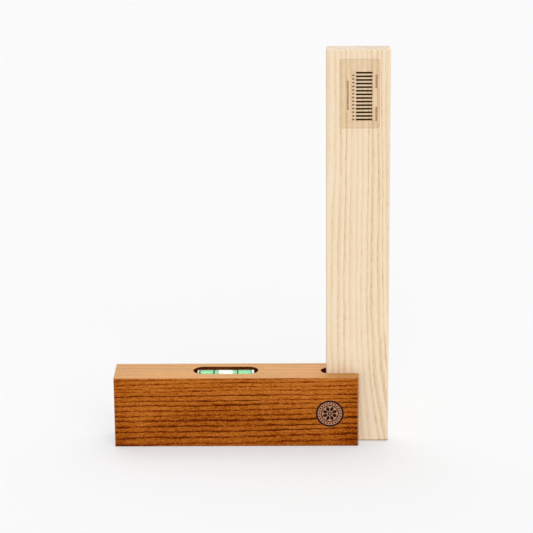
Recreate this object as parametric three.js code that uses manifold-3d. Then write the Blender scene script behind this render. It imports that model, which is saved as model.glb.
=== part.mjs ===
// A wooden try square with a spirit level in its stock.
//
// The stock is a thick block of dark, heat-treated ash. The blade is a long flat batten of pale ash, glued
// into an open slot in the stock's end, with half of its width standing out past the end. A tubular vial
// lies in a routed pocket in the stock's top face, on a bed of plaster.
//
// Millimetres, +Z up, +X along the stock towards the blade, -Y towards the front. The origin is the centre
// of the whole tool's footprint, on the plane it stands on.
import * as THREE from "three";
import { RoundedBoxGeometry } from "three/addons/geometries/RoundedBoxGeometry.js";
import { mergeVertices } from "three/addons/utils/BufferGeometryUtils.js";
import Module from "manifold-3d";

const wasm = await Module();
wasm.setup();

// ---- Driving dimensions ----------------------------------------------------------------------------------

// Stock
const stockLength = 175;
const stockHeight = 52;
const stockDepth = 31.5;
const stockArris = 0.4; // radius that eases its edges

// Blade
const bladeLength = 288;
const bladeWidth = 44.5;
const bladeThickness = 12.2;
const bladeArris = 1.7;
const bladeInset = 23; // how much of its width is let into the stock

// Slot that holds the blade
const glueGap = 0.15; // on each face of the blade
const cornerClearance = 0.1; // from the blade's eased corners to the slot's round end

// Pocket routed for the vial
const pocketFromEnd = 79.8; // its centre, from the stock's free end
const pocketOffset = 1; // its centre, from the stock's middle towards the back
const endRoom = 3.15; // between each end of the vial and the pocket's end
const sideRoom = 2.15; // between each side of the vial and the pocket's wall
const roomBelow = 3.7; // between the vial and the pocket's floor

// Vial
const vialLength = 40.5; // over both plugs
const vialDiameter = 11;
const vialBelowTop = 0.05; // from the stock's top face down to the top of the tube
const boreDiameter = 8.4; // at mid length
const boreCrown = 0.15; // how much the bore's radius shrinks from mid length to its ends
const leftFlange = 0.8; // thickness of the left plug's flange
const rightFlange = 1.5;
const leftSeal = 1.4; // length of the left sealing ring
const rightSeal = 0.6;
const spigotDiameter = 5; // of the plug, inside its sealing ring
const lineSpacing = 17; // between the middles of the two marking lines
const lineWidth = 0.85;
const lineDepth = 0.15; // of the groove that holds a line

// Air bubble
const bubbleLength = 10.6;
const bubbleEndLength = 3.6; // of each rounded end
const bubbleClearance = 0.15; // to the narrow ends of the bore
const bubbleFloor = 1.6; // its flat underside, above the vial's axis
const bubbleGap = 0.2; // down to the liquid

// Plaster bed under the vial
const bedRise = 2.8; // how far it comes up the sides of the tube
const bedClearance = 0.15; // to the pocket's walls and floor
const saddleClearance = 0.1; // to the tube

// Round badge let into the front of the stock
const badgeDiameter = 20;
const badgeThickness = 0.25;
const badgeFromEnd = 20.6; // its centre, from the stock's slotted end
const badgeHeight = 24.8; // its centre, above the base

// Clear adhesive label on the blade
const labelWidth = 28;
const labelHeight = 49;
const labelThickness = 0.1;
const labelCornerRadius = 1.5;
const labelFromTop = 6.9;
const labelOffset = 0.9; // its centre, from the blade's middle towards the outer edge

// Clearances between touching pieces
const hairGap = 0.02; // between faces that are stuck or pressed together
const fitGap = 0.05; // round a turned piece in its bore or recess

// Facets
const roundSteps = 48; // round a turned piece
const arrisSteps = 3; // round an eased edge or a corner
const boreSteps = 8; // along the crowned bore
const overrun = 1; // how far a cutter passes the face it cuts

// ---- Places worked out from them -------------------------------------------------------------------------

const overallLength = stockLength - bladeInset + bladeWidth;
const stockLeft = -overallLength / 2;
const stockRight = stockLeft + stockLength;
const stockFront = -stockDepth / 2;
const bladeLeft = stockRight - bladeInset;
const bladeFront = -bladeThickness / 2;
const slotRadius = bladeThickness / 2 + glueGap;
const vialRadius = vialDiameter / 2;
const vialAxisZ = stockHeight - vialBelowTop - vialRadius;
const pocketX = stockLeft + pocketFromEnd;
const pocketLength = vialLength + 2 * endRoom;
const pocketWidth = vialDiameter + 2 * sideRoom;
const pocketFloor = vialAxisZ - vialRadius - roomBelow;
const boreRadius = boreDiameter / 2;

// The vial is turned about its own axis, with its left end at 0 and its right end at vialLength.
const tubeStart = leftFlange;
const tubeEnd = vialLength - rightFlange;
const chamberStart = tubeStart + leftSeal;
const chamberEnd = tubeEnd - rightSeal;
const boreEndRadius = boreRadius - boreCrown;
const bubbleRadius = boreEndRadius - bubbleClearance;

// ---- Materials -------------------------------------------------------------------------------------------

const material = (color, roughness, metalness = 0, opacity = 1) =>
  new THREE.MeshStandardMaterial({ color, roughness, metalness, opacity, transparent: opacity < 1 });

const materials = {
  darkAsh: material(0x9a5a24, 0.55),
  paleAsh: material(0xe8d2ae, 0.6),
  plaster: material(0xeeeae0, 0.9),
  acrylic: material(0xdff3e4, 0.05, 0, 0.35),
  plug: material(0xf2f4ee, 0.35),
  seal: material(0x2f3a30, 0.7),
  line: material(0x101210, 0.5),
  spirit: material(0x6fce8a, 0.05, 0, 0.8),
  air: material(0xf7fbf7, 0.05, 0, 0.5),
  badge: material(0xbf9076, 0.4, 0.3),
  film: material(0xe9d0a2, 0.3, 0, 0.8),
};

// ---- Solid helpers ---------------------------------------------------------------------------------------

// A closed three.js geometry as a solid that can be cut.
function solidOf(geometry) {
  const bare = geometry.index ? geometry.toNonIndexed() : geometry.clone();
  bare.deleteAttribute("normal");
  bare.deleteAttribute("uv");
  const merged = mergeVertices(bare, 1e-4);
  return new wasm.Manifold(
    new wasm.Mesh({
      numProp: 3,
      vertProperties: merged.attributes.position.array,
      triVerts: new Uint32Array(merged.index.array),
    }),
  );
}

// A solid as a three.js geometry.
function geometryOf(solid) {
  const mesh = solid.getMesh();
  return new THREE.BufferGeometry()
    .setAttribute("position", new THREE.BufferAttribute(new Float32Array(mesh.vertProperties), 3))
    .setIndex(new THREE.BufferAttribute(new Uint32Array(mesh.triVerts), 1));
}

// A box between two corners.
function boxBetween(low, high) {
  const size = high.map((value, i) => value - low[i]);
  const centre = high.map((value, i) => (value + low[i]) / 2);
  return new THREE.BoxGeometry(...size).translate(...centre);
}

// A box between two corners with every edge rounded.
function easedBoxBetween(low, high, radius) {
  const size = high.map((value, i) => value - low[i]);
  const centre = high.map((value, i) => (value + low[i]) / 2);
  return new RoundedBoxGeometry(...size, arrisSteps, radius).translate(...centre);
}

// A shape drawn in plan (X, Y), extruded upwards from z = bottom to z = top.
function extrudedPlan(shape, bottom, top) {
  const depth = top - bottom;
  return new THREE.ExtrudeGeometry(shape, { depth, bevelEnabled: false, curveSegments: roundSteps / 4 })
    .translate(0, 0, bottom);
}

// A long hole with two round ends, in plan, centred at (x, y).
function roundEndedPlan(x, y, length, width) {
  const radius = width / 2;
  const reach = length / 2 - radius;
  const shape = new THREE.Shape();
  shape.absarc(x + reach, y, radius, -Math.PI / 2, Math.PI / 2, false);
  shape.absarc(x - reach, y, radius, Math.PI / 2, (3 * Math.PI) / 2, false);
  return shape;
}

// A turned piece. Its profile is a list of [radius, distance along the vial], and its axis is laid along +X.
function turned(profile) {
  const points = profile.map(([radius, along]) => new THREE.Vector2(radius, along));
  return new THREE.LatheGeometry(points, roundSteps).rotateZ(-Math.PI / 2);
}

// The crowned bore's radius, less a clearance, at a distance along the vial.
function boreAt(along, clearance = 0) {
  const half = (tubeEnd - tubeStart) / 2;
  const fromMiddle = along - (tubeStart + half);
  return boreRadius - boreCrown * (fromMiddle / half) ** 2 - clearance;
}

// Points down the bore's wall from one distance to another, as profile entries.
function boreWall(from, to, clearance = 0) {
  const points = [];
  for (let i = 0; i <= boreSteps; i++) {
    const along = from + ((to - from) * i) / boreSteps;
    points.push([boreAt(along, clearance), along]);
  }
  return points;
}

// ---- Wooden pieces ---------------------------------------------------------------------------------------

// The slot runs the stock's full height. It is open at the stock's end and half round at the other, where
// the blade's two eased corners just clear the round.
function slotPlan() {
  const cornerY = bladeThickness / 2 - bladeArris;
  const cornerToCentre = slotRadius - cornerClearance - bladeArris;
  const roundCentre = bladeLeft + bladeArris + Math.sqrt(cornerToCentre ** 2 - cornerY ** 2);
  const shape = new THREE.Shape();
  shape.moveTo(stockRight + overrun, -slotRadius);
  shape.lineTo(stockRight + overrun, slotRadius);
  shape.absarc(roundCentre, 0, slotRadius, Math.PI / 2, (3 * Math.PI) / 2, false);
  shape.closePath();
  return shape;
}

// A disc that faces the front.
function badgeDisc(radius, thickness) {
  return new THREE.CylinderGeometry(radius, radius, thickness, roundSteps);
}

function stockGeometry() {
  const block = easedBoxBetween(
    [stockLeft, stockFront, 0],
    [stockRight, -stockFront, stockHeight],
    stockArris,
  );
  const slot = extrudedPlan(slotPlan(), -overrun, stockHeight + overrun);
  const pocket = extrudedPlan(
    roundEndedPlan(pocketX, pocketOffset, pocketLength, pocketWidth),
    pocketFloor,
    stockHeight + overrun,
  );
  const recessDepth = badgeThickness + hairGap;
  const recess = badgeDisc(badgeDiameter / 2 + fitGap, 2 * recessDepth).translate(
    stockRight - badgeFromEnd,
    stockFront,
    badgeHeight,
  );
  const cut = (solid, cutter) => solid.subtract(solidOf(cutter));
  return geometryOf([slot, pocket, recess].reduce(cut, solidOf(block)));
}

function bladeGeometry() {
  return easedBoxBetween(
    [bladeLeft, bladeFront, 0],
    [bladeLeft + bladeWidth, -bladeFront, bladeLength],
    bladeArris,
  );
}

// ---- Vial ------------------------------------------------------------------------------------------------

function tubeGeometry() {
  const grooveRadius = vialRadius - lineDepth;
  const middle = vialLength / 2;
  const outside = [[vialRadius, tubeStart]];
  for (const centre of [middle - lineSpacing / 2, middle + lineSpacing / 2]) {
    outside.push([vialRadius, centre - lineWidth / 2 - hairGap]);
    outside.push([grooveRadius, centre - lineWidth / 2 - hairGap]);
    outside.push([grooveRadius, centre + lineWidth / 2 + hairGap]);
    outside.push([vialRadius, centre + lineWidth / 2 + hairGap]);
  }
  outside.push([vialRadius, tubeEnd]);
  const inside = boreWall(tubeEnd, tubeStart);
  return turned([...outside, ...inside, outside[0]]);
}

function lineGeometry(side) {
  const centre = vialLength / 2 + (side * lineSpacing) / 2;
  const inner = vialRadius - lineDepth + hairGap;
  const start = centre - lineWidth / 2;
  const end = centre + lineWidth / 2;
  return turned([
    [inner, start],
    [vialRadius, start],
    [vialRadius, end],
    [inner, end],
    [inner, start],
  ]);
}

// A plug has a flange over the end of the tube and a spigot that carries the sealing ring.
function plugGeometry(face, flange, seal) {
  const inward = face === 0 ? 1 : -1;
  const shoulder = face + inward * (flange - hairGap);
  const tip = face + inward * (flange + seal);
  const profile = [
    [0, face],
    [vialRadius - fitGap, face],
    [vialRadius - fitGap, shoulder],
    [spigotDiameter / 2, shoulder],
    [spigotDiameter / 2, tip],
    [0, tip],
  ];
  return turned(inward > 0 ? profile : profile.reverse());
}

function sealGeometry(start, end) {
  const inner = spigotDiameter / 2 + fitGap;
  const outer = boreEndRadius - fitGap;
  return turned([
    [inner, start + hairGap],
    [outer, start + hairGap],
    [outer, end - hairGap],
    [inner, end - hairGap],
    [inner, start + hairGap],
  ]);
}

// Only the part of a turned solid above or below a level over the vial's axis.
function cutAtLevel(geometry, level, keepAbove) {
  const far = vialDiameter;
  const low = [-far, -far, keepAbove ? level : -far];
  const high = [vialLength + far, far, keepAbove ? far : level];
  return geometryOf(solidOf(geometry).intersect(solidOf(boxBetween(low, high))));
}

// The liquid fills the bore up to a flat channel, which the bubble runs along.
function liquidGeometry() {
  const start = chamberStart + hairGap;
  const end = chamberEnd - hairGap;
  const full = turned([[0, start], ...boreWall(start, end, fitGap), [0, end]]);
  return cutAtLevel(full, bubbleFloor - bubbleGap, false);
}

// The bubble has a round top, two round ends and a flat underside.
function bubbleGeometry() {
  const start = vialLength / 2 - bubbleLength / 2;
  const profile = [];
  for (let i = 0; i <= boreSteps; i++) {
    const angle = (Math.PI / 2) * (i / boreSteps);
    profile.push([bubbleRadius * Math.sin(angle), start + bubbleEndLength * (1 - Math.cos(angle))]);
  }
  const otherEnd = profile.map(([radius, along]) => [radius, vialLength - along]).reverse();
  return cutAtLevel(turned([...profile, ...otherEnd]), bubbleFloor, true);
}

// ---- Bed, badge and label --------------------------------------------------------------------------------

function bedGeometry() {
  const bedLength = pocketLength - 2 * bedClearance;
  const bedWidth = pocketWidth - 2 * bedClearance;
  const block = extrudedPlan(
    roundEndedPlan(pocketX, pocketOffset, bedLength, bedWidth),
    pocketFloor + bedClearance,
    vialAxisZ - vialRadius + bedRise,
  );
  const saddleRadius = vialRadius + saddleClearance;
  const saddle = turned([
    [0, -pocketLength],
    [saddleRadius, -pocketLength],
    [saddleRadius, pocketLength],
    [0, pocketLength],
  ]).translate(pocketX, pocketOffset, vialAxisZ);
  return geometryOf(solidOf(block).subtract(solidOf(saddle)));
}

// The label is a film with four rounded corners, drawn about its own centre.
function labelGeometry() {
  const x = labelWidth / 2 - labelCornerRadius;
  const y = labelHeight / 2 - labelCornerRadius;
  const shape = new THREE.Shape();
  shape.absarc(-x, -y, labelCornerRadius, Math.PI, 1.5 * Math.PI, false);
  shape.absarc(x, -y, labelCornerRadius, 1.5 * Math.PI, 2 * Math.PI, false);
  shape.absarc(x, y, labelCornerRadius, 0, 0.5 * Math.PI, false);
  shape.absarc(-x, y, labelCornerRadius, 0.5 * Math.PI, Math.PI, false);
  return new THREE.ExtrudeGeometry(shape, {
    depth: labelThickness,
    bevelEnabled: false,
    curveSegments: arrisSteps,
  });
}

// ---- Assembly --------------------------------------------------------------------------------------------

const square = new THREE.Group();

function add(name, geometry, look, parent = square) {
  const mesh = new THREE.Mesh(geometry, look);
  mesh.name = name;
  parent.add(mesh);
  return mesh;
}

add("stock", stockGeometry(), materials.darkAsh);
add("blade", bladeGeometry(), materials.paleAsh);
add("vial_bed", bedGeometry(), materials.plaster);

const vial = new THREE.Group();
vial.position.set(pocketX - vialLength / 2, pocketOffset, vialAxisZ);
square.add(vial);
add("vial_tube", tubeGeometry(), materials.acrylic, vial);
add("vial_liquid", liquidGeometry(), materials.spirit, vial);
add("bubble", bubbleGeometry(), materials.air, vial);
add("vial_plug_left", plugGeometry(0, leftFlange, leftSeal), materials.plug, vial);
add("vial_plug_right", plugGeometry(vialLength, rightFlange, rightSeal), materials.plug, vial);
add("vial_seal_left", sealGeometry(tubeStart, chamberStart), materials.seal, vial);
add("vial_seal_right", sealGeometry(chamberEnd, tubeEnd), materials.seal, vial);
add("vial_line_left", lineGeometry(-1), materials.line, vial);
add("vial_line_right", lineGeometry(1), materials.line, vial);

const badge = add("round_badge", badgeDisc(badgeDiameter / 2, badgeThickness), materials.badge);
badge.position.set(stockRight - badgeFromEnd, stockFront + badgeThickness / 2, badgeHeight);

const label = add("adhesive_label", labelGeometry(), materials.film);
label.position.set(
  bladeLeft + bladeWidth / 2 + labelOffset,
  bladeFront - hairGap,
  bladeLength - labelFromTop - labelHeight / 2,
);
label.rotation.x = Math.PI / 2;

export default square;
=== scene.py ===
import math

import bmesh
import bpy
from mathutils import Matrix, Vector


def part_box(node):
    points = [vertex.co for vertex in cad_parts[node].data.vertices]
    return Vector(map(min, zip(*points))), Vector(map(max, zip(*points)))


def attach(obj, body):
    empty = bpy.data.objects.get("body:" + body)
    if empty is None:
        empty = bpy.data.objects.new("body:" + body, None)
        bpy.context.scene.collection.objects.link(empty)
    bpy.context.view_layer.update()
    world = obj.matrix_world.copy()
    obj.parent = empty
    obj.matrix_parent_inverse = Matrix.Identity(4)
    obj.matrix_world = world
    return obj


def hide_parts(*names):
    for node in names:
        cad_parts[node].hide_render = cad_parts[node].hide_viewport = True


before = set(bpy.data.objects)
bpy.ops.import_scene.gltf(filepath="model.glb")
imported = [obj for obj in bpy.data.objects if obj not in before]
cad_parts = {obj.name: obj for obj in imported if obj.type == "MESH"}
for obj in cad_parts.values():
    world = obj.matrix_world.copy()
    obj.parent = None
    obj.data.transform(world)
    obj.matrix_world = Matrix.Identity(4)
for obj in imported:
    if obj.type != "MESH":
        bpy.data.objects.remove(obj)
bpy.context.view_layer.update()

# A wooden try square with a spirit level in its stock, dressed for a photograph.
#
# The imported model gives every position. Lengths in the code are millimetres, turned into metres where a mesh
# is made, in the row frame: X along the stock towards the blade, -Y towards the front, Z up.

ROOT = "square"
BUBBLE = "bubble"
TO_METRES = 0.001

# Shapes that the CAD boxes don't give, in millimetres
GLUE_GAP = 0.15  # between the blade and each cheek of its slot
SLOT_TIP = 3.885  # from the blade's inner edge to the tip of the slot's round end
BED_GAP = 0.15  # between the plaster bed and the pocket's walls and floor
STOCK_ARRIS = 0.4
STOCK_END_ARRIS = 0.9  # of the two upright edges by the blade
BLADE_ARRIS = 1.2
RIM_ARRIS = 0.25  # the broken edge round the slot, the pocket and the badge's recess
BORE_RADIUS = 4.2
BORE_CROWN = 0.15  # how much less the bore's radius is at its ends
SPIGOT_RADIUS = 2.5
LINE_DEPTH = 0.15
TROUGH_RADIUS = 3.5  # of the trough for the bubble, from the vial's axis
TROUGH_ANGLE = 72  # the trough's reach down each side, in degrees from the top
BUBBLE_ANGLE = 62
BUBBLE_SQUARENESS = 3.2  # exponent of its outline from above, where 2 is an ellipse
BUBBLE_GAP = 0.07  # between the bubble and the trough's floor
LIQUID_GAP = 0.06  # between the liquid and the bore
SEAL_GAP = 0.04  # between a plug's flange and its seal
FIT_GAP = 0.05  # round the badge in its recess, and a spigot in its seal
HAIR_GAP = 0.02  # between a line and its groove, and behind the badge
SADDLE_GAP = 0.1  # between the plaster bed and the tube
INK_THICKNESS = 0.012  # of the print on the label

ROUND_STEPS = 96  # round a turned piece


def box_mm(node):
    """(lowest corner, highest corner) of a CAD node, in millimetres."""
    low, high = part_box(node)
    return low / TO_METRES, high / TO_METRES


STOCK_LOW, STOCK_HIGH = box_mm("stock")
BLADE_LOW, BLADE_HIGH = box_mm("blade")
TUBE_LOW, TUBE_HIGH = box_mm("vial_tube")
BED_LOW, BED_HIGH = box_mm("vial_bed")
BADGE_LOW, BADGE_HIGH = box_mm("round_badge")
LABEL_LOW, LABEL_HIGH = box_mm("adhesive_label")
BUBBLE_LOW, BUBBLE_HIGH = box_mm("bubble")
LIQUID_LOW, LIQUID_HIGH = box_mm("vial_liquid")

VIAL_RADIUS = (TUBE_HIGH.z - TUBE_LOW.z) / 2
VIAL_Y = (TUBE_HIGH.y + TUBE_LOW.y) / 2
VIAL_Z = (TUBE_HIGH.z + TUBE_LOW.z) / 2


# ---- Shader graphs ---------------------------------------------------------------------------------------


class Graph:
    """A material whose nodes are written as calls. Any input may be a number, a colour or another socket."""

    def __init__(self, name):
        self.material = bpy.data.materials.new(name)
        self.material.use_nodes = True
        self.nodes = self.material.node_tree.nodes
        self.links = self.material.node_tree.links
        self.nodes.clear()
        self.output = self.nodes.new("ShaderNodeOutputMaterial")

    def add(self, kind, inputs=None, **settings):
        node = self.nodes.new(kind)
        for key, value in settings.items():
            setattr(node, key, value)
        for key, value in (inputs or {}).items():
            self.feed(node.inputs[key], value)
        return node

    def feed(self, socket, value):
        if isinstance(value, bpy.types.NodeSocket):
            self.links.new(value, socket)
        elif isinstance(value, (tuple, list)) and len(value) == 3 and socket.type == "RGBA":
            socket.default_value = (*value, 1.0)
        else:
            socket.default_value = value

    def calc(self, operation, *values, clamp=False):
        node = self.add("ShaderNodeMath", dict(enumerate(values)), operation=operation, use_clamp=clamp)
        return node.outputs[0]

    def vector(self, x, y, z):
        return self.add("ShaderNodeCombineXYZ", {0: x, 1: y, 2: z}).outputs[0]

    def place_mm(self):
        """The place on the object, in millimetres in the row frame, as three sockets."""
        spot = self.add("ShaderNodeTexCoord").outputs["Object"]
        split = self.add("ShaderNodeSeparateXYZ", {0: spot})
        return [self.calc("DIVIDE", split.outputs[i], TO_METRES) for i in range(3)]

    def noise(self, vector, detail=2.0, roughness=0.5):
        """Smooth noise about 0.5, one feature to a unit of the vector."""
        settings = {"Vector": vector, "Scale": 1.0, "Detail": detail, "Roughness": roughness}
        return self.add("ShaderNodeTexNoise", settings).outputs["Fac"]

    def remap(self, value, low, high, new_low=0.0, new_high=1.0, smooth=False):
        kind = "SMOOTHSTEP" if smooth else "LINEAR"
        inputs = {"Value": value, "From Min": low, "From Max": high, "To Min": new_low, "To Max": new_high}
        return self.add("ShaderNodeMapRange", inputs, interpolation_type=kind).outputs[0]

    def mix(self, share, a, b, blend="MIX"):
        node = self.add("ShaderNodeMix", data_type="RGBA", blend_type=blend)
        for index, value in zip((0, 6, 7), (share, a, b)):
            self.feed(node.inputs[index], value)
        return node.outputs[2]

    def ramp(self, value, stops):
        """A colour that changes smoothly through stops, a list of (value, colour)."""
        node = self.add("ShaderNodeValToRGB", {"Fac": value})
        elements = node.color_ramp.elements
        while len(elements) < len(stops):
            elements.new(1.0)
        for element, (position, colour) in zip(elements, stops):
            element.position = position
            element.color = (*colour, 1.0)
        return node.outputs["Color"]

    def bump(self, height, depth_mm, strength=1.0):
        inputs = {"Height": height, "Distance": depth_mm * TO_METRES, "Strength": strength}
        return self.add("ShaderNodeBump", inputs).outputs[0]

    def principled(self, **inputs):
        named = {key.replace("_", " "): value for key, value in inputs.items()}
        return self.add("ShaderNodeBsdfPrincipled", named).outputs[0]

    def finish(self, shader):
        self.links.new(shader, self.output.inputs["Surface"])
        return self.material


def srgb(red, green, blue):
    """A colour as a picture shows it, 0 to 255, in the linear values that shaders take."""
    shares = [value / 255 for value in (red, green, blue)]
    return tuple(v / 12.92 if v <= 0.04045 else ((v + 0.055) / 1.055) ** 2.4 for v in shares)


def ash(name, grain, pith, spacing, tones, wander, lean=0.0, flare=(0.0, 0.0, 0.0), fleck=1.0, **more):
    """Ring-porous ash, cut from a log whose pith runs along the grain axis at pith, in millimetres.

    Each year's ring starts with a band of open pores, which darkens it, and ends in smooth late wood. tones
    runs from the palest late wood to the darkest pores. wander is how far the rings stray, from slowly to
    finely, and lean is how far they drift for each millimetre along the grain. flare is (how strongly they
    spread, below which height, from which place across). fleck scales the tone's noise. In more are:

    uneven: how much the rings' spacing varies; band: the share of a ring where early wood ends
    patch and ring: how patches, and fibres within a ring, weaken and strengthen early wood
    speck: the strength of short specks; broad: which slow noise is used; ground: the tone with nothing added
    heart: (darkening for each millimetre nearer the pith, measured from which radius)
    ends, end_stain: where the piece ends along the grain, and how much darker its ends are
    top: (share, colour) of a painted light and sheen on faces that look up
    soak, end: how much early wood drinks at cut ends, and what their colour is multiplied by
    edge: the colour of a painted highlight on eased edges; gloss: the roughness of late and of early wood
    specular, sheen: the strength and the tint of its highlights
    """
    g = Graph(name)
    place = g.place_mm()
    across = [i for i in range(3) if i != grain]
    along = place[grain]
    u = g.calc("SUBTRACT", place[across[0]], pith[0])
    v = g.calc("SUBTRACT", place[across[1]], pith[1])

    def stretched(length, width, shift=0.0):
        """A vector for noise with features this long and wide, in millimetres. A shift gives other noise."""
        scaled = [g.calc("DIVIDE", value, size) for value, size in ((along, length), (u, width), (v, width))]
        return g.vector(g.calc("ADD", scaled[0], shift), *scaled[1:])

    def about_zero(noise, size):
        return g.calc("MULTIPLY", g.calc("SUBTRACT", noise, 0.5), size)

    # the rings, which wander slowly along the grain and quiver on a small scale
    radius = g.calc("SQRT", g.calc("ADD", g.calc("MULTIPLY", u, u), g.calc("MULTIPLY", v, v)))
    radius = g.calc("ADD", radius, about_zero(g.noise(stretched(150, 30)), wander[0]))
    radius = g.calc("ADD", radius, about_zero(g.noise(stretched(24, 6), detail=2.0), wander[1]))
    radius = g.calc("ADD", radius, about_zero(g.noise(stretched(5, 1.2), detail=3.0), wander[2]))
    radius = g.calc("ADD", radius, g.calc("MULTIPLY", along, lean))
    if flare[0]:
        below = g.calc("MAXIMUM", g.calc("SUBTRACT", flare[1], along), 0.0)
        aside = g.calc("MAXIMUM", g.calc("SUBTRACT", place[across[0]], flare[2]), 0.0)
        spread = g.calc("MULTIPLY", g.calc("MULTIPLY", below, below), g.calc("MULTIPLY", aside, flare[0]))
        radius = g.calc("SUBTRACT", radius, spread)
    slow = g.noise(g.vector(g.calc("DIVIDE", radius, 5.5), 0.0, 0.0), detail=1.0)
    uneven = about_zero(slow, more["uneven"])
    rings = g.calc("ADD", g.calc("DIVIDE", radius, spacing), uneven)
    phase = g.calc("FRACT", rings)
    year = g.add("ShaderNodeTexWhiteNoise", {"W": g.calc("FLOOR", rings)}, noise_dimensions="1D").outputs[0]

    # how much early wood there is: it starts sharply and fades out
    rise = g.remap(phase, 0.0, 0.12, smooth=True)
    fall = g.remap(phase, 0.12, more["band"], 1.0, 0.0, smooth=True)
    early = g.calc("MULTIPLY", g.calc("MULTIPLY", rise, fall), g.remap(year, 0.0, 1.0, 0.4, 1.0))
    patch = g.noise(stretched(26, 2.6, 170.0), detail=2.0)
    early = g.calc("MULTIPLY", early, g.remap(patch, 0.3, 0.7, *more["patch"]), clamp=True)

    # fibres and pores run along the grain, and the pores crowd in the early wood
    fibre = g.noise(stretched(9, 0.8), detail=3.0, roughness=0.7)
    thread = g.noise(stretched(4, 0.4, 50.0), detail=2.0, roughness=0.6)
    pore = g.noise(stretched(3.6, 0.42, 90.0), detail=1.0)
    open_pore = g.calc("MULTIPLY", g.remap(pore, 0.55, 0.68, smooth=True), g.remap(early, 0.0, 0.6, 0.3, 1.0))
    speck = g.noise(stretched(1.5, 0.6, 130.0), detail=2.0)
    broad = g.noise(stretched(70, 16, more["broad"]), detail=2.0)

    dark = g.calc("MULTIPLY", early, g.remap(fibre, 0.3, 0.7, *more["ring"]))
    for part, size in ((fibre, 0.7), (thread, 0.8), (broad, 0.6), (speck, more["speck"])):
        dark = g.calc("ADD", dark, about_zero(part, size * fleck))
    dark = g.calc("ADD", dark, g.calc("MULTIPLY", open_pore, 0.4 * fleck))
    inwards = g.calc("SUBTRACT", more["heart"][1], radius)
    dark = g.calc("ADD", dark, g.calc("MULTIPLY", inwards, more["heart"][0]))
    low_end, high_end = more["ends"]
    from_end = g.calc("MINIMUM", g.calc("SUBTRACT", along, low_end), g.calc("SUBTRACT", high_end, along))
    darkening_reach = 20.0
    dark = g.calc("ADD", dark, g.remap(from_end, 0.0, darkening_reach, more["end_stain"], 0.0, smooth=True))
    wood = g.ramp(g.calc("ADD", dark, more["ground"], clamp=True), tones)

    # the top is painted paler and plainer, a painted light and sheen from above, and cut ends drink in the
    # finish, above all in their early wood
    normal = g.add("ShaderNodeSeparateXYZ", {0: g.add("ShaderNodeTexCoord").outputs["Normal"]})
    painted_top_light = g.remap(normal.outputs[2], 0.8, 0.98, 0.0, more["top"][0], smooth=True)
    wood = g.mix(painted_top_light, wood, more["top"][1])
    end = g.remap(g.calc("ABSOLUTE", normal.outputs[grain]), 0.6, 0.95, smooth=True)
    soaked = g.mix(g.calc("MULTIPLY", early, more["soak"]), more["end"], (0.3, 0.2, 0.1))
    wood = g.mix(end, wood, g.mix(1.0, wood, soaked, blend="MULTIPLY"))

    # eased edges get a painted highlight, and the walls the cutter leaves, and less the lowest edges, get
    # painted shade
    eased = g.add("ShaderNodeAttribute", attribute_name="eased").outputs["Fac"]
    wood = g.mix(g.calc("MULTIPLY", eased, 0.45), wood, more["edge"])
    # painted shade in the walls of the cuts, and a lighter painted contact shadow on the lowest edges
    cut = g.add("ShaderNodeAttribute", attribute_name="cut").outputs["Fac"]
    wood = g.mix(cut, wood, g.mix(1.0, wood, (0.3, 0.18, 0.15), blend="MULTIPLY"))

    low = g.calc("ADD", open_pore, g.calc("MULTIPLY", early, 0.3))
    height = g.calc("SUBTRACT", g.calc("MULTIPLY", g.calc("ADD", fibre, thread), 0.5), low)
    shader = g.principled(
        Base_Color=wood,
        Roughness=g.remap(early, 0.0, 1.0, *more["gloss"]),
        Specular_IOR_Level=more["specular"],
        Specular_Tint=(*more["sheen"], 1.0),
        Normal=g.bump(height, 0.06, 0.5),
    )
    return g.finish(shader)


def grained(name, colour, other, size, roughness, depth=0.02, **more):
    """A plain coloured stuff with a fine mottle and a fine unevenness."""
    g = Graph(name)
    x, y, z = g.place_mm()
    spot = g.vector(*[g.calc("DIVIDE", value, size) for value in (x, y, z)])
    mottle = g.noise(spot, detail=4.0)
    shader = g.principled(
        Base_Color=g.mix(g.remap(mottle, 0.3, 0.7), colour, other),
        Roughness=g.remap(mottle, 0.3, 0.7, roughness * 0.85, roughness * 1.15),
        Normal=g.bump(mottle, depth, 0.4),
        **more,
    )
    return g.finish(shader)


def film_stuff():
    """Clear film that hardly shows but for a painted shade line along its edges."""
    g = Graph("label film")
    x, _, z = g.place_mm()
    gaps = []
    for spot, low, high in ((x, LABEL_LOW.x, LABEL_HIGH.x), (z, LABEL_LOW.z, LABEL_HIGH.z)):
        gaps += [g.calc("SUBTRACT", spot, low), g.calc("SUBTRACT", high, spot)]
    inset = g.calc("MINIMUM", g.calc("MINIMUM", gaps[0], gaps[1]), g.calc("MINIMUM", gaps[2], gaps[3]))
    mottle = g.noise(g.vector(g.calc("DIVIDE", x, 6.0), 0.0, g.calc("DIVIDE", z, 9.0)), detail=3.0)
    # a painted shade line, darker and less clear, along the film's edges
    edge = g.remap(inset, 0.2, 0.8, 0.06, 0.0, smooth=True)
    shader = g.principled(
        Base_Color=g.mix(g.remap(mottle, 0.3, 0.7), srgb(216, 180, 112), srgb(206, 168, 98)),
        Roughness=g.remap(mottle, 0.3, 0.7, 0.25, 0.4),
        Alpha=g.calc("ADD", edge, g.remap(mottle, 0.3, 0.7, 0.05, 0.11)),
        Normal=g.bump(mottle, 0.03, 0.3),
    )
    return g.finish(shader)


def clear(name, tint, ior):
    """Clear stuff that lamps shine through."""
    g = Graph(name)
    body = g.principled(
        Base_Color=tint,
        Roughness=0.02,
        IOR=ior,
        Transmission_Weight=1.0,
    )
    open_air = g.add("ShaderNodeBsdfTransparent", {"Color": tint}).outputs[0]
    lamp_ray = g.add("ShaderNodeLightPath").outputs["Is Shadow Ray"]
    return g.finish(g.add("ShaderNodeMixShader", {0: lamp_ray, 1: body, 2: open_air}).outputs[0])


# ---- Meshes ----------------------------------------------------------------------------------------------


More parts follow.
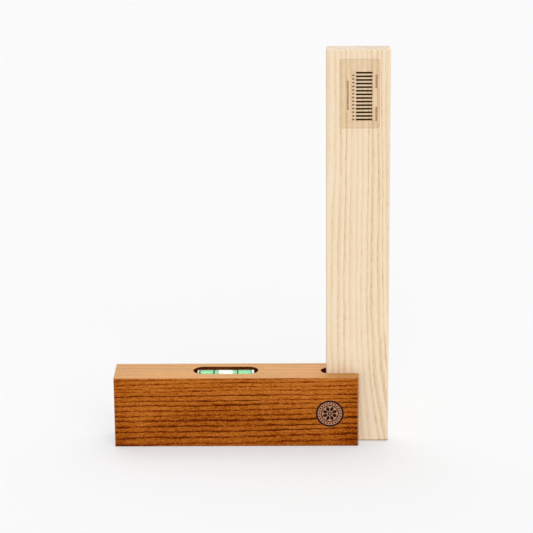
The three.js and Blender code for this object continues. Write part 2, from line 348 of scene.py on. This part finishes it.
def make_object(name, mesh, material, smooth_under=35.0):
    mesh.materials.clear()
    mesh.materials.append(material)
    for polygon in mesh.polygons:
        polygon.use_smooth = True
    mesh.set_sharp_from_angle(angle=math.radians(smooth_under))
    made = bpy.data.objects.new(name, mesh)
    bpy.context.scene.collection.objects.link(made)
    return made


def mesh_from(bm, name):
    """A bmesh in millimetres as a mesh in metres."""
    bmesh.ops.scale(bm, vec=Vector((TO_METRES,) * 3), verts=bm.verts)
    bmesh.ops.recalc_face_normals(bm, faces=bm.faces)
    mesh = bpy.data.meshes.new(name)
    bm.to_mesh(mesh)
    bm.free()
    return mesh


def weigh_normals(made):
    """Keeps flat faces flat where they meet a rounded edge."""
    modifier = made.modifiers.new("flat faces", "WEIGHTED_NORMAL")
    modifier.keep_sharp = True
    return made


def eased_block(low, high, radius, end_radius=0.0, steps=4):
    """A block whose edges are all rounded, the two upright ones at its +X end by end_radius if given."""
    bm = bmesh.new()
    bmesh.ops.create_cube(bm, size=1.0)
    for vertex in bm.verts:
        for i in range(3):
            vertex.co[i] = high[i] if vertex.co[i] > 0 else low[i]
    settings = {"offset_type": "OFFSET", "segments": steps, "profile": 0.5, "affect": "EDGES"}
    if end_radius:
        end_edges = [e for e in bm.edges if all(v.co.x == high.x for v in e.verts)]
        upright = [e for e in end_edges if e.verts[0].co.y == e.verts[1].co.y]
        bmesh.ops.bevel(bm, geom=upright, offset=end_radius, **settings)
    sharp = [e for e in bm.edges if e.calc_face_angle() > math.radians(45)]
    bmesh.ops.bevel(bm, geom=sharp, offset=radius, **settings)
    return bm


def prism(outline, low, high, axis=2):
    """A straight-sided solid: outline is a list of points across the axis, from low to high along it."""
    bm = bmesh.new()

    def spot(point, level):
        spread = list(point)
        spread.insert(axis, level)
        return spread

    rings = [[bm.verts.new(spot(point, level)) for point in outline] for level in (low, high)]
    bm.faces.new(rings[0][::-1])
    bm.faces.new(rings[1])
    count = len(outline)
    for i in range(count):
        j = (i + 1) % count
        bm.faces.new((rings[0][i], rings[0][j], rings[1][j], rings[1][i]))
    return bm


def arc(centre, radius, start, end, steps):
    """Points along an arc, angles in degrees."""
    angles = [math.radians(start + (end - start) * i / steps) for i in range(steps + 1)]
    return [(centre[0] + radius * math.cos(a), centre[1] + radius * math.sin(a)) for a in angles]


def round_ended_plan(low, high, margin):
    """A long hole with two round ends, in plan, which clears a box by a margin all round."""
    radius = (high.y - low.y) / 2 + margin
    middle = (high.y + low.y) / 2
    right, left = high.x + margin - radius, low.x - margin + radius
    return [*arc((right, middle), radius, -90, 90, 40), *arc((left, middle), radius, 90, 270, 40)]


def turned(profile, start_x):
    """A piece turned about the vial's axis. profile is a closed list of (distance from start_x, radius)."""
    bm = bmesh.new()
    rings = []
    for along, radius in profile:
        if radius == 0:
            rings.append([bm.verts.new((start_x + along, VIAL_Y, VIAL_Z))])
            continue
        circle = arc((VIAL_Y, VIAL_Z), radius, 0.0, 360.0, ROUND_STEPS)[:-1]
        rings.append([bm.verts.new((start_x + along, *point)) for point in circle])
    hollow = all(len(ring) > 1 for ring in rings)
    pairs = list(zip(rings, rings[1:])) + ([(rings[-1], rings[0])] if hollow else [])
    for a, b in pairs:
        bridge(bm, a, b, ROUND_STEPS)
    return bm


def bridge(bm, a, b, count):
    """Faces between two closed rows of corners, either of which may be a single point."""
    for i in range(count):
        j = (i + 1) % count
        corners = [a[i % len(a)], a[j % len(a)], b[j % len(b)], b[i % len(b)]]
        bm.faces.new(list(dict.fromkeys(corners)))


def place(made, body, slot_name, *nodes):
    """Puts a finished piece on its body in the place of CAD nodes."""
    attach(made, body)
    if nodes:
        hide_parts(*nodes)
    return made


def mark_eased(mesh, low, high, arris):
    """Marks the small faces that round a wooden piece's edges or rims, for a painted highlight, and the walls
    of its cuts, for painted shade.

    The lowest edges get no painted highlight. They get a lighter painted shadow where the piece stands on the
    floor.
    """
    marks = mesh.attributes.new("eased", "FLOAT", "FACE")
    cuts = mesh.attributes.new("cut", "FLOAT", "FACE")
    for polygon in mesh.polygons:
        centre = polygon.center / TO_METRES
        near = [min(centre[i] - low[i], high[i] - centre[i]) < arris + 0.05 for i in range(3)]
        slanted = max(abs(n) for n in polygon.normal) < 0.995
        rim = any(near[i] and abs(polygon.normal[i]) > 0.1 for i in range(3))
        # a painted highlight on eased edges that don't face down
        edge_highlight = slanted and (sum(near) > 1 or rim) and polygon.normal.z > -0.1
        # a painted contact shadow on the lowest edges
        bottom_shadow = slanted and near[2] and polygon.normal.z < -0.1
        marks.data[polygon.index].value = 1.0 if edge_highlight else 0.0
        # 1.0 paints shade in the walls of the cuts, 0.6 a contact shadow on the lowest edges
        cuts.data[polygon.index].value = 0.6 if bottom_shadow else 0.0 if any(near) else 1.0


# ---- Wooden pieces ---------------------------------------------------------------------------------------


def cut_away(block, cutters, rim):
    """The block with the cutters taken out of it and its new edges broken by a small bevel."""
    objects = []
    for bm in (block, *cutters):
        made = bpy.data.objects.new("cutting", mesh_from(bm, "cutting"))
        bpy.context.scene.collection.objects.link(made)
        objects.append(made)
    first, *rest = objects
    for cutter in rest:
        modifier = first.modifiers.new("cut", "BOOLEAN")
        modifier.operation = "DIFFERENCE"
        modifier.solver = "EXACT"
        modifier.object = cutter
    bevel = first.modifiers.new("rims", "BEVEL")
    bevel.width = rim * TO_METRES
    bevel.segments = 2
    bevel.limit_method = "ANGLE"
    bevel.angle_limit = math.radians(50)
    bpy.context.view_layer.update()
    evaluated = first.evaluated_get(bpy.context.evaluated_depsgraph_get())
    mesh = bpy.data.meshes.new_from_object(evaluated)
    for made in objects:
        bpy.data.objects.remove(made)
    return mesh


def make_stock(material):
    overrun = 2.0
    block = eased_block(STOCK_LOW, STOCK_HIGH, STOCK_ARRIS, STOCK_END_ARRIS)

    slot_radius = (BLADE_HIGH.y - BLADE_LOW.y) / 2 + GLUE_GAP
    round_centre = BLADE_LOW.x - SLOT_TIP + slot_radius
    far = STOCK_HIGH.x + overrun
    slot_plan = [(far, -slot_radius), (far, slot_radius), *arc((round_centre, 0.0), slot_radius, 90, 270, 40)]
    slot = prism(slot_plan, STOCK_LOW.z - overrun, STOCK_HIGH.z + overrun)

    pocket = prism(round_ended_plan(BED_LOW, BED_HIGH, BED_GAP), BED_LOW.z - BED_GAP, STOCK_HIGH.z + overrun)

    badge_centre = ((BADGE_LOW.x + BADGE_HIGH.x) / 2, (BADGE_LOW.z + BADGE_HIGH.z) / 2)
    recess_radius = (BADGE_HIGH.x - BADGE_LOW.x) / 2 + FIT_GAP
    recess_plan = arc(badge_centre, recess_radius, 0, 360, ROUND_STEPS)[:-1]
    recess = prism(recess_plan, BADGE_LOW.y - overrun, BADGE_HIGH.y + HAIR_GAP, axis=1)

    mesh = cut_away(block, (slot, pocket, recess), RIM_ARRIS)
    mark_eased(mesh, STOCK_LOW, STOCK_HIGH, STOCK_END_ARRIS)
    stock = weigh_normals(make_object("ash_stock", mesh, material))
    return place(stock, ROOT, "dark_ash", "stock")


def make_blade(material):
    bm = eased_block(BLADE_LOW, BLADE_HIGH, BLADE_ARRIS)
    mesh = mesh_from(bm, "ash_blade")
    mark_eased(mesh, BLADE_LOW, BLADE_HIGH, BLADE_ARRIS)
    blade = weigh_normals(make_object("ash_blade", mesh, material))
    return place(blade, ROOT, "pale_ash", "blade")


# ---- The vial --------------------------------------------------------------------------------------------


def bore_at(share):
    """The crowned bore's radius at a share of its length."""
    return BORE_RADIUS - BORE_CROWN * (2 * share - 1) ** 2


def make_tube(material, wetted, line_boxes):
    """The bore's wall has its own stuff, because liquid against it hides its gloss."""
    length = TUBE_HIGH.x - TUBE_LOW.x
    groove = VIAL_RADIUS - LINE_DEPTH
    rim = 0.12
    outside = [(0.0, VIAL_RADIUS - rim), (rim, VIAL_RADIUS)]
    for low, high in line_boxes:
        start, end = low.x - TUBE_LOW.x - HAIR_GAP, high.x - TUBE_LOW.x + HAIR_GAP
        outside += [(start, VIAL_RADIUS), (start, groove), (end, groove), (end, VIAL_RADIUS)]
    outside += [(length - rim, VIAL_RADIUS), (length, VIAL_RADIUS - rim)]
    steps = 16
    inside = [(length * (1 - i / steps), bore_at(1 - i / steps)) for i in range(steps + 1)]
    mesh = mesh_from(turned(outside + inside, TUBE_LOW.x), "clear_tube")
    tube = make_object("clear_tube", mesh, material)
    mesh.materials.append(wetted)
    for polygon in mesh.polygons:
        centre, normal = polygon.center / TO_METRES, polygon.normal
        outwards = Vector((0, centre.y - VIAL_Y, centre.z - VIAL_Z)).normalized()
        polygon.material_index = 1 if normal.dot(outwards) < -0.5 else 0
    return place(tube, ROOT, "clear_acrylic", "vial_tube")


def make_liquid(material):
    """The liquid fills the bore round a shallow trough along its top, where the bubble runs."""
    length = LIQUID_HIGH.x - LIQUID_LOW.x
    reach = (LIQUID_LOW.x - TUBE_LOW.x) / (TUBE_HIGH.x - TUBE_LOW.x)
    steps, trough_steps, wall_steps = 16, 24, 48
    bm = bmesh.new()
    rows = []
    for i in range(steps + 1):
        radius = bore_at(reach + (1 - 2 * reach) * i / steps) - LIQUID_GAP
        trough = arc((VIAL_Y, VIAL_Z), TROUGH_RADIUS, 90 + TROUGH_ANGLE, 90 - TROUGH_ANGLE, trough_steps)
        wall = arc((VIAL_Y, VIAL_Z), radius, 90 - TROUGH_ANGLE - 2, TROUGH_ANGLE - 268, wall_steps)
        x = LIQUID_LOW.x + length * i / steps
        rows.append([bm.verts.new((x, *point)) for point in trough + wall])
    count = len(rows[0])
    for a, b in zip(rows, rows[1:]):
        for i in range(count):
            j = (i + 1) % count
            bm.faces.new((a[i], a[j], b[j], b[i]))
    bm.faces.new(rows[0])
    bm.faces.new(rows[-1][::-1])
    liquid = make_object("green_spirit", mesh_from(bm, "green_spirit"), material)
    return place(liquid, ROOT, "green_spirit", "vial_liquid")


def make_bubble(material):
    """The bubble: a long lens that lies in the liquid's trough, under the crown of the bore."""
    middle = (BUBBLE_LOW.x + BUBBLE_HIGH.x) / 2
    half_length = (BUBBLE_HIGH.x - BUBBLE_LOW.x) / 2
    crown = BUBBLE_HIGH.z - VIAL_Z
    floor = TROUGH_RADIUS + BUBBLE_GAP
    rings, steps = 14, 96
    bm = bmesh.new()

    def spot(share, turn, above):
        """A point at a share of the way from the lens's middle to its edge."""
        power = BUBBLE_SQUARENESS
        edge = (abs(math.cos(turn)) ** power + abs(math.sin(turn)) ** power) ** (-1 / power)
        along = middle + half_length * share * edge * math.cos(turn)
        angle = math.radians(90 + BUBBLE_ANGLE * share * edge * math.sin(turn))
        thickness = (crown - floor) * math.sqrt(max(0.0, 1 - share**4))
        droop = (crown - floor - thickness) * 0.35  # how far the thin edge hangs below the crown
        radius = crown - (0.0 if above else thickness) - droop
        return bm.verts.new((along, VIAL_Y + radius * math.cos(angle), VIAL_Z + radius * math.sin(angle)))

    shares = [math.sin(math.pi / 2 * i / rings) for i in range(1, rings)]
    turns = [2 * math.pi * i / steps for i in range(steps)]
    top = [[spot(share, turn, True) for turn in turns] for share in shares]
    edge = [spot(1.0, turn, True) for turn in turns]
    bottom = [[spot(share, turn, False) for turn in turns] for share in reversed(shares)]
    rows = [[spot(0.0, 0.0, True)], *top, edge, *bottom, [spot(0.0, 0.0, False)]]
    for a, b in zip(rows, rows[1:]):
        bridge(bm, a, b, steps)
    bubble = make_object("air_bubble", mesh_from(bm, "air_bubble"), material, smooth_under=70)
    return place(bubble, BUBBLE, "air", "bubble")


def make_line(node, name, material):
    low, high = box_mm(node)
    width = high.x - low.x
    inner = VIAL_RADIUS - LINE_DEPTH + HAIR_GAP
    edge = 0.04
    profile = [
        (0.0, inner),
        (0.0, VIAL_RADIUS - edge),
        (edge, VIAL_RADIUS),
        (width - edge, VIAL_RADIUS),
        (width, VIAL_RADIUS - edge),
        (width, inner),
    ]
    line = make_object(name, mesh_from(turned(profile, low.x), name), material)
    return place(line, ROOT, "black_line", node)


def make_plug(node, name, faces_left, material):
    low, high = box_mm(node)
    length = high.x - low.x
    seal_low, seal_high = box_mm("vial_seal_left" if faces_left else "vial_seal_right")
    flange = (seal_low.x - low.x if faces_left else high.x - seal_high.x) - SEAL_GAP
    radius = (high.z - low.z) / 2
    rim = 0.25
    profile = [
        (0.0, 0.0),
        (0.0, radius - rim),
        (rim * 0.3, radius - rim * 0.3),
        (rim, radius),
        (flange, radius),
        (flange, SPIGOT_RADIUS),
        (length, SPIGOT_RADIUS),
        (length, 0.0),
    ]
    if not faces_left:
        profile = [(length - along, r) for along, r in reversed(profile)]
    plug = make_object(name, mesh_from(turned(profile, low.x), name), material)
    return place(plug, ROOT, "white_plug", node)


def make_seal(node, name, material):
    low, high = box_mm(node)
    width = high.x - low.x
    outer = (high.z - low.z) / 2
    inner = SPIGOT_RADIUS + FIT_GAP
    bulge = 0.1
    profile = [
        (0.0, inner),
        (0.0, outer - bulge),
        (bulge, outer),
        (width - bulge, outer),
        (width, outer - bulge),
        (width, inner),
    ]
    seal = make_object(name, mesh_from(turned(profile, low.x), name), material)
    return place(seal, ROOT, "black_rubber", node)


def make_bed(material):
    """The plaster keeps the trowel's unevenness along the tube."""
    block = prism(round_ended_plan(BED_LOW, BED_HIGH, 0.0), BED_LOW.z, BED_HIGH.z)
    overrun = 2
    reach = BED_HIGH.x - BED_LOW.x + 2 * overrun
    saddle_radius = VIAL_RADIUS + SADDLE_GAP
    profile = [(0.0, 0.0), (0.0, saddle_radius), (reach, saddle_radius), (reach, 0.0)]
    saddle = turned(profile, BED_LOW.x - overrun)
    mesh = cut_away(block, (saddle,), 0.4)
    bed = weigh_normals(make_object("plaster_bed", mesh, material))
    return place(bed, ROOT, "plaster", "vial_bed")


# ---- Badge and label -------------------------------------------------------------------------------------


def join(parts):
    """Several bmeshes as one."""
    whole = bmesh.new()
    for bm in parts:
        mesh = bpy.data.meshes.new("part")
        bm.to_mesh(mesh)
        bm.free()
        whole.from_mesh(mesh)
        bpy.data.meshes.remove(mesh)
    return whole


def flat_ring(centre, inner, outer, low, high, start=0.0, end=360.0, steps=ROUND_STEPS):
    """A ring, or a stretch of one, that lies in the front's plane, from low to high along Y."""
    whole = end - start >= 360.0
    rows = []
    bm = bmesh.new()
    outer_points = arc(centre, outer, start, end, steps)
    inner_points = arc(centre, inner, start, end, steps)
    for (ox, oz), (ix, iz) in zip(outer_points, inner_points):
        rows.append([bm.verts.new(p) for p in ((ox, low, oz), (ox, high, oz), (ix, high, iz), (ix, low, iz))])
    if whole:
        for vertex in rows.pop():
            bm.verts.remove(vertex)
    pairs = list(zip(rows, rows[1:])) + ([(rows[-1], rows[0])] if whole else [])
    for a, b in pairs:
        for i in range(4):
            j = (i + 1) % 4
            bm.faces.new((a[i], a[j], b[j], b[i]))
    if not whole:
        bm.faces.new(rows[0])
        bm.faces.new(rows[-1][::-1])
    return bm


def make_badge(face_material, ink_material):
    """A disc with a dark rim and a plain pattern of rings, ticks and petals."""
    centre = ((BADGE_LOW.x + BADGE_HIGH.x) / 2, (BADGE_LOW.z + BADGE_HIGH.z) / 2)
    radius = (BADGE_HIGH.x - BADGE_LOW.x) / 2
    front, back = BADGE_LOW.y, BADGE_HIGH.y
    face = front + 0.06  # the print stands in front of it
    arris = 0.05
    rings = [
        (0.0, back),
        (radius, back),
        (radius, face + arris),
        (radius - arris, face),
        (0.0, face),
    ]
    bm = bmesh.new()
    rows = []
    for r, y in rings:
        if r == 0.0:
            rows.append([bm.verts.new((centre[0], y, centre[1]))])
        else:
            rows.append([bm.verts.new((x, y, z)) for x, z in arc(centre, r, 0, 360, ROUND_STEPS)[:-1]])
    for a, b in zip(rows, rows[1:]):
        bridge(bm, a, b, ROUND_STEPS)
    disc = make_object("round_badge_face", mesh_from(bm, "round_badge_face"), face_material)
    place(disc, ROOT, "badge", "round_badge")

    high, low = face + 0.01, front + 0.01  # the print, from inside the face to its own front
    parts = [
        flat_ring(centre, radius - 1.3, radius - 0.02, low, high),
        flat_ring(centre, 5.8, 6.5, low, high),
        flat_ring(centre, 0.7, 1.5, low, high),
    ]
    ticks = 24
    for i in range(ticks):
        angle = 360.0 * i / ticks
        parts.append(flat_ring(centre, 7.0, 8.3, low, high, angle - 3.2, angle + 3.2, steps=2))
    petals = 8
    for i in range(petals):
        turn = math.radians(360.0 * i / petals + 22.5)
        parts.append(petal(centre, turn, 1.7, 5.7, 1.2, low, high))
    ink = make_object("round_badge_print", mesh_from(join(parts), "round_badge_print"), ink_material)
    return place(ink, ROOT, "badge")


def petal(centre, turn, start, end, half_width, low, high, steps=10):
    """A pointed leaf that runs outwards from the centre."""
    side = []
    for i in range(steps + 1):
        share = i / steps
        side.append((start + (end - start) * share, half_width * math.sin(math.pi * share)))
    outline = side + [(x, -y) for x, y in reversed(side[1:-1])]
    spun = [
        (
            centre[0] + x * math.cos(turn) - y * math.sin(turn),
            centre[1] + x * math.sin(turn) + y * math.cos(turn),
        )
        for x, y in outline
    ]
    return prism(spun, low, high, axis=1)


def stroke(left, right, bottom, top, front):
    """A printed oblong on the label."""
    outline = [(left, bottom), (right, bottom), (right, top), (left, top)]
    return prism(outline, front - INK_THICKNESS, front, axis=1)


def make_label(film_material, ink_material, faint_material):
    """A clear film with plain bars and strokes, which stand for its print and spell nothing."""
    corner = 1.5
    x0, x1 = LABEL_LOW.x + corner, LABEL_HIGH.x - corner
    z0, z1 = LABEL_LOW.z + corner, LABEL_HIGH.z - corner
    outline = [
        *arc((x0, z0), corner, 180, 270, 8),
        *arc((x1, z0), corner, 270, 360, 8),
        *arc((x1, z1), corner, 0, 90, 8),
        *arc((x0, z1), corner, 90, 180, 8),
    ]
    mesh = mesh_from(prism(outline, LABEL_LOW.y, LABEL_HIGH.y, axis=1), "clear_label")
    film = make_object("clear_label", mesh, film_material)
    place(film, ROOT, "label_film", "adhesive_label")

    front = LABEL_LOW.y
    left, bottom = LABEL_LOW.x, LABEL_LOW.z
    faint = []

    # equal bars with equal gaps, which encode nothing
    strong = dashed(left + 11.4, left + 22.7, bottom + 5.7, bottom + 40.0, 2.54, front, 0.5)

    # columns of dashes on both sides of the bars, from the label's lower left corner:
    # (left, right, bottom, top, step, the share of each step that its dash takes)
    columns = [
        (8.8, 10.3, 5.9, 40.6, 2.6, 0.36),
        (24.8, 26.2, 5.6, 15.6, 1.25, 0.5),
        (24.8, 26.2, 28.5, 38.6, 1.25, 0.5),
        (5.2, 6.4, 13.4, 34.0, 1.3, 0.5),
    ]
    for x_low, x_high, z_low, z_high, step, share in columns:
        faint += dashed(left + x_low, left + x_high, bottom + z_low, bottom + z_high, step, front, share)

    prints = (("label_print", strong, ink_material), ("side_print", faint, faint_material))
    for name, printed, material in prints:
        place(make_object(name, mesh_from(join(printed), name), material), ROOT, "label_film")


def dashed(left, right, low, high, step, front, share):
    """A column of small strokes with equal gaps; share is how much of each step its stroke takes."""
    parts = []
    level = low
    while level + share * step <= high:
        parts.append(stroke(left, right, level, level + share * step, front))
        level += step
    return parts


# ---- The object ------------------------------------------------------------------------------------------

X, Z = 0, 2

DARK_ASH = ash(
    "dark ash",
    grain=X,
    pith=(45.0, -27.0),
    spacing=2.4,
    uneven=1.3,
    tones=[
        (0.0, srgb(195, 118, 50)),
        (0.25, srgb(174, 97, 26)),
        (0.45, srgb(155, 79, 13)),
        (0.65, srgb(128, 54, 5)),
        (0.82, srgb(100, 31, 1)),
        (1.0, srgb(70, 14, 0)),
    ],
    wander=(3.2, 1.0, 0.6),
    lean=-0.0125,
    fleck=1.2,
    band=0.55,
    patch=(0.45, 1.25),
    speck=1.0,
    broad=31.0,
    ring=(0.5, 1.15),
    ground=0.27,
    heart=(0.007, 84.0),
    ends=(STOCK_LOW.x, STOCK_HIGH.x),
    end_stain=0.16,
    # a painted light and sheen on the stock's upward faces
    top=(0.55, srgb(223, 174, 103)),
    soak=0.0,
    end=(0.55, 0.5, 0.5),
    # the colour of a painted highlight on eased edges
    edge=srgb(205, 140, 95),
    gloss=(0.42, 0.6),
    specular=0.45,
    sheen=(0.8, 0.2, 0.03),
)
PALE_ASH = ash(
    "pale ash",
    grain=Z,
    pith=(15.0, -58.0),
    spacing=2.9,
    uneven=2.2,
    tones=[
        (0.0, srgb(246, 227, 201)),
        (0.3, srgb(239, 216, 185)),
        (0.55, srgb(231, 203, 168)),
        (0.8, srgb(220, 187, 147)),
        (1.0, srgb(204, 164, 116)),
    ],
    wander=(5.0, 0.9, 0.5),
    flare=(1.2e-5, 150.0, 62.0),
    fleck=0.5,
    band=0.8,
    patch=(0.7, 1.15),
    speck=0.4,
    broad=20.0,
    ring=(0.4, 0.8),
    ground=0.18,
    heart=(0.0, 0.0),
    ends=(BLADE_LOW.z, BLADE_HIGH.z),
    end_stain=0.0,
    top=(0.0, (1.0, 1.0, 1.0)),
    soak=0.3,
    end=(0.82, 0.86, 0.95),
    # the colour of a painted highlight on eased edges
    edge=srgb(240, 222, 195),
    gloss=(0.5, 0.62),
    specular=0.35,
    sheen=(1.0, 0.85, 0.65),
)
PLASTER = grained("plaster", (0.82, 0.80, 0.74), (0.74, 0.71, 0.64), 0.8, 0.9, depth=0.08)
PLUG = grained("white plug", (0.86, 0.9, 0.85), (0.8, 0.86, 0.8), 1.5, 0.35)
SEAL = grained("dark seal", (0.03, 0.06, 0.035), (0.02, 0.04, 0.025), 0.6, 0.6)
LINE = grained("line ink", (0.008, 0.012, 0.009), (0.02, 0.03, 0.02), 0.5, 0.45)
CARD, INK = {"Specular_IOR_Level": 0.2}, {"Specular_IOR_Level": 0.1}
BADGE_FACE = grained("badge face", srgb(192, 138, 104), srgb(174, 118, 86), 0.9, 0.5, **CARD)
BADGE_INK = grained("badge ink", (0.008, 0.002, 0.002), (0.02, 0.006, 0.005), 0.7, 0.5, **INK)
LABEL_INK = grained("label ink", (0.03, 0.007, 0.002), (0.05, 0.018, 0.006), 0.5, 0.5, **INK)
FAINT_INK = grained("faint ink", srgb(112, 56, 28), srgb(136, 80, 46), 0.5, 0.5, **INK)
FILM = film_stuff()
ACRYLIC = clear("clear acrylic", (0.96, 1.0, 0.97), ior=1.49)
WETTED = clear("wetted bore", (0.98, 1.0, 0.98), ior=1.0)
SPIRIT = grained("green spirit", srgb(126, 208, 146), srgb(116, 200, 136), 6.0, 0.15, depth=0.0)
AIR = grained("air", srgb(243, 244, 237), srgb(236, 239, 230), 3.0, 0.08, depth=0.0)

make_stock(DARK_ASH)
make_blade(PALE_ASH)
make_bed(PLASTER)
make_tube(ACRYLIC, WETTED, [box_mm("vial_line_left"), box_mm("vial_line_right")])
make_liquid(SPIRIT)
make_bubble(AIR)
make_line("vial_line_left", "left_line", LINE)
make_line("vial_line_right", "right_line", LINE)
make_plug("vial_plug_left", "left_plug", True, PLUG)
make_plug("vial_plug_right", "right_plug", False, PLUG)
make_seal("vial_seal_left", "left_seal", SEAL)
make_seal("vial_seal_right", "right_seal", SEAL)
make_badge(BADGE_FACE, BADGE_INK)
make_label(FILM, LABEL_INK, FAINT_INK)


# ---- Studio ----------------------------------------------------------------------------------------------


def make_floor(glow, reflects):
    """A pale floor that glows a little, so that shadows on it stay faint."""
    size = 14.0
    bm = bmesh.new()
    bmesh.ops.create_grid(bm, x_segments=1, y_segments=1, size=size / 2)
    mesh = bpy.data.meshes.new("floor")
    bm.to_mesh(mesh)
    bm.free()
    g = Graph("floor sheet")
    shader = g.principled(
        Base_Color=(reflects, reflects, reflects),
        Roughness=0.9,
        Specular_IOR_Level=0.0,
        Emission_Color=(1.0, 1.0, 1.0),
        Emission_Strength=glow,
    )
    floor = make_object("floor", mesh, g.finish(shader))
    floor.location.z = -0.0002


def make_world(around, behind):
    """Even light from all around, and a broad bright window behind the object."""
    world = bpy.data.worlds.new("studio")
    bpy.context.scene.world = world
    world.use_nodes = True
    nodes, links = world.node_tree.nodes, world.node_tree.links
    nodes.clear()
    output = nodes.new("ShaderNodeOutputWorld")
    sky = nodes.new("ShaderNodeBackground")
    way = nodes.new("ShaderNodeTexCoord")
    towards = nodes.new("ShaderNodeVectorMath")
    towards.operation = "DOT_PRODUCT"
    window = Vector((0.1, 0.84, 0.53))
    towards.inputs[1].default_value = window.normalized()
    level = nodes.new("ShaderNodeMapRange")
    level.interpolation_type = "SMOOTHSTEP"
    for name, value in (("From Min", 0.3), ("From Max", 0.95), ("To Min", around), ("To Max", behind)):
        level.inputs[name].default_value = value
    links.new(way.outputs["Generated"], towards.inputs[0])
    links.new(towards.outputs["Value"], level.inputs["Value"])
    links.new(level.outputs[0], sky.inputs["Strength"])
    links.new(sky.outputs[0], output.inputs["Surface"])


def make_soft_sun(name, towards, strength, spread):
    lamp = bpy.data.lights.new(name, "SUN")
    lamp.energy, lamp.angle = strength, math.radians(spread)
    made = bpy.data.objects.new(name, lamp)
    bpy.context.scene.collection.objects.link(made)
    made.rotation_euler = Vector(towards).to_track_quat("-Z", "Y").to_euler()


def make_camera():
    """A long lens from the front, a little to the right and above."""
    pitch, yaw, roll = 0.3001, -0.0150, -0.0086
    eye = (0.0345, -1.5346, 0.6053)
    level_reach = math.cos(pitch)
    forward = Vector((math.sin(yaw) * level_reach, math.cos(yaw) * level_reach, -math.sin(pitch)))
    level = Vector((math.cos(yaw), -math.sin(yaw), 0.0))
    upright = level.cross(forward)
    right = level * math.cos(roll) + upright * math.sin(roll)
    up = upright * math.cos(roll) - level * math.sin(roll)
    data = bpy.data.cameras.new("camera")
    data.sensor_width = 36.0
    data.lens = 153.06
    data.clip_start, data.clip_end = 0.05, 40.0
    camera = bpy.data.objects.new("camera", data)
    bpy.context.scene.collection.objects.link(camera)
    turn = Matrix((right, up, -forward)).transposed().to_4x4()
    camera.matrix_world = Matrix.Translation(eye) @ turn
    bpy.context.scene.camera = camera


make_floor(glow=0.465, reflects=0.42)
make_world(around=0.5, behind=1.65)
make_soft_sun("top light", (0.1, -0.3, -1.0), 0.8, 50)
make_soft_sun("front light", (-0.25, 1.0, -0.65), 1.35, 50)
make_camera()
bpy.context.scene.view_settings.view_transform = "Standard"
